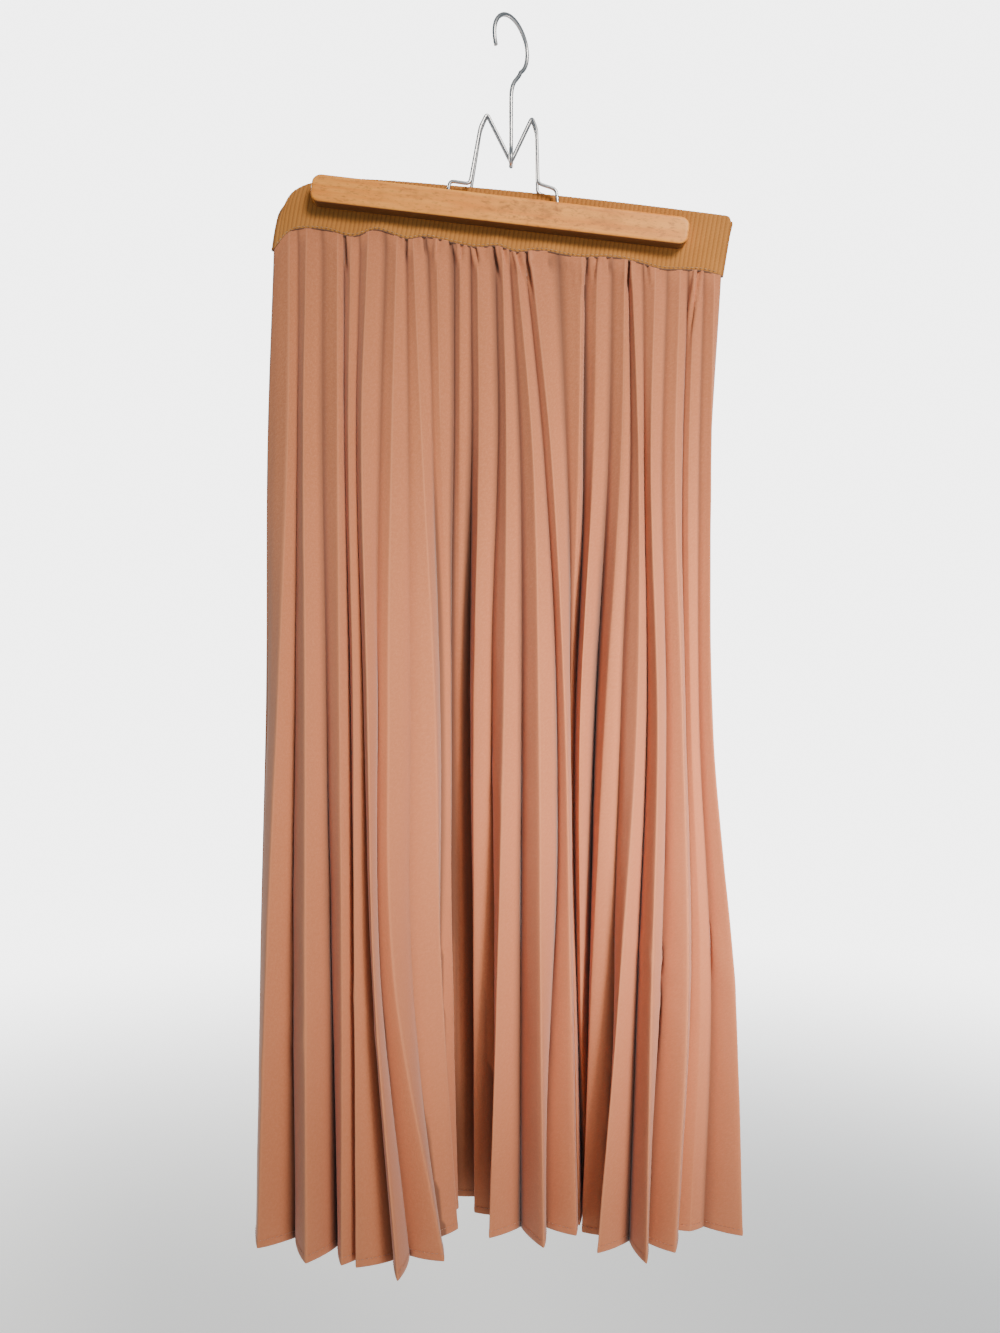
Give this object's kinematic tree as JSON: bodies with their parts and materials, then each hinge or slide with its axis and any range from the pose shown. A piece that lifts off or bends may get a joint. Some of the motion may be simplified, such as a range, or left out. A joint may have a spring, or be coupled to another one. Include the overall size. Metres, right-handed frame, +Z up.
{
  "type": "pleated midi skirt on clamp hanger",
  "caption": "Pleated terracotta midi skirt with a ribbed ochre elastic waistband, hanging from a wooden clamp hanger with wire frames and a wire hook",
  "frame": {"origin": "the inner top of the hanger's hook, where it rests on a rail", "axes": "+Z up, the skirt's front faces -Y, +X to the right as seen from the front"},
  "size_m": [0.373, 0.1979, 0.9388],
  "materials": {
    "skirt_cloth": "matte pleated crepe",
    "waist_elastic": "matte ribbed knit",
    "bar_wood": "satin varnish",
    "bright_wire": "polished"
  },
  "bodies": {
    "root": {"front_panel": "skirt_cloth", "back_panel": "skirt_cloth", "waistband": "waist_elastic", "clamp_bar_front": "bar_wood", "clamp_bar_back": "bar_wood", "wire_frame_front": "bright_wire", "wire_frame_back": "bright_wire", "hook": "bright_wire"}
  },
  "joints": []
}
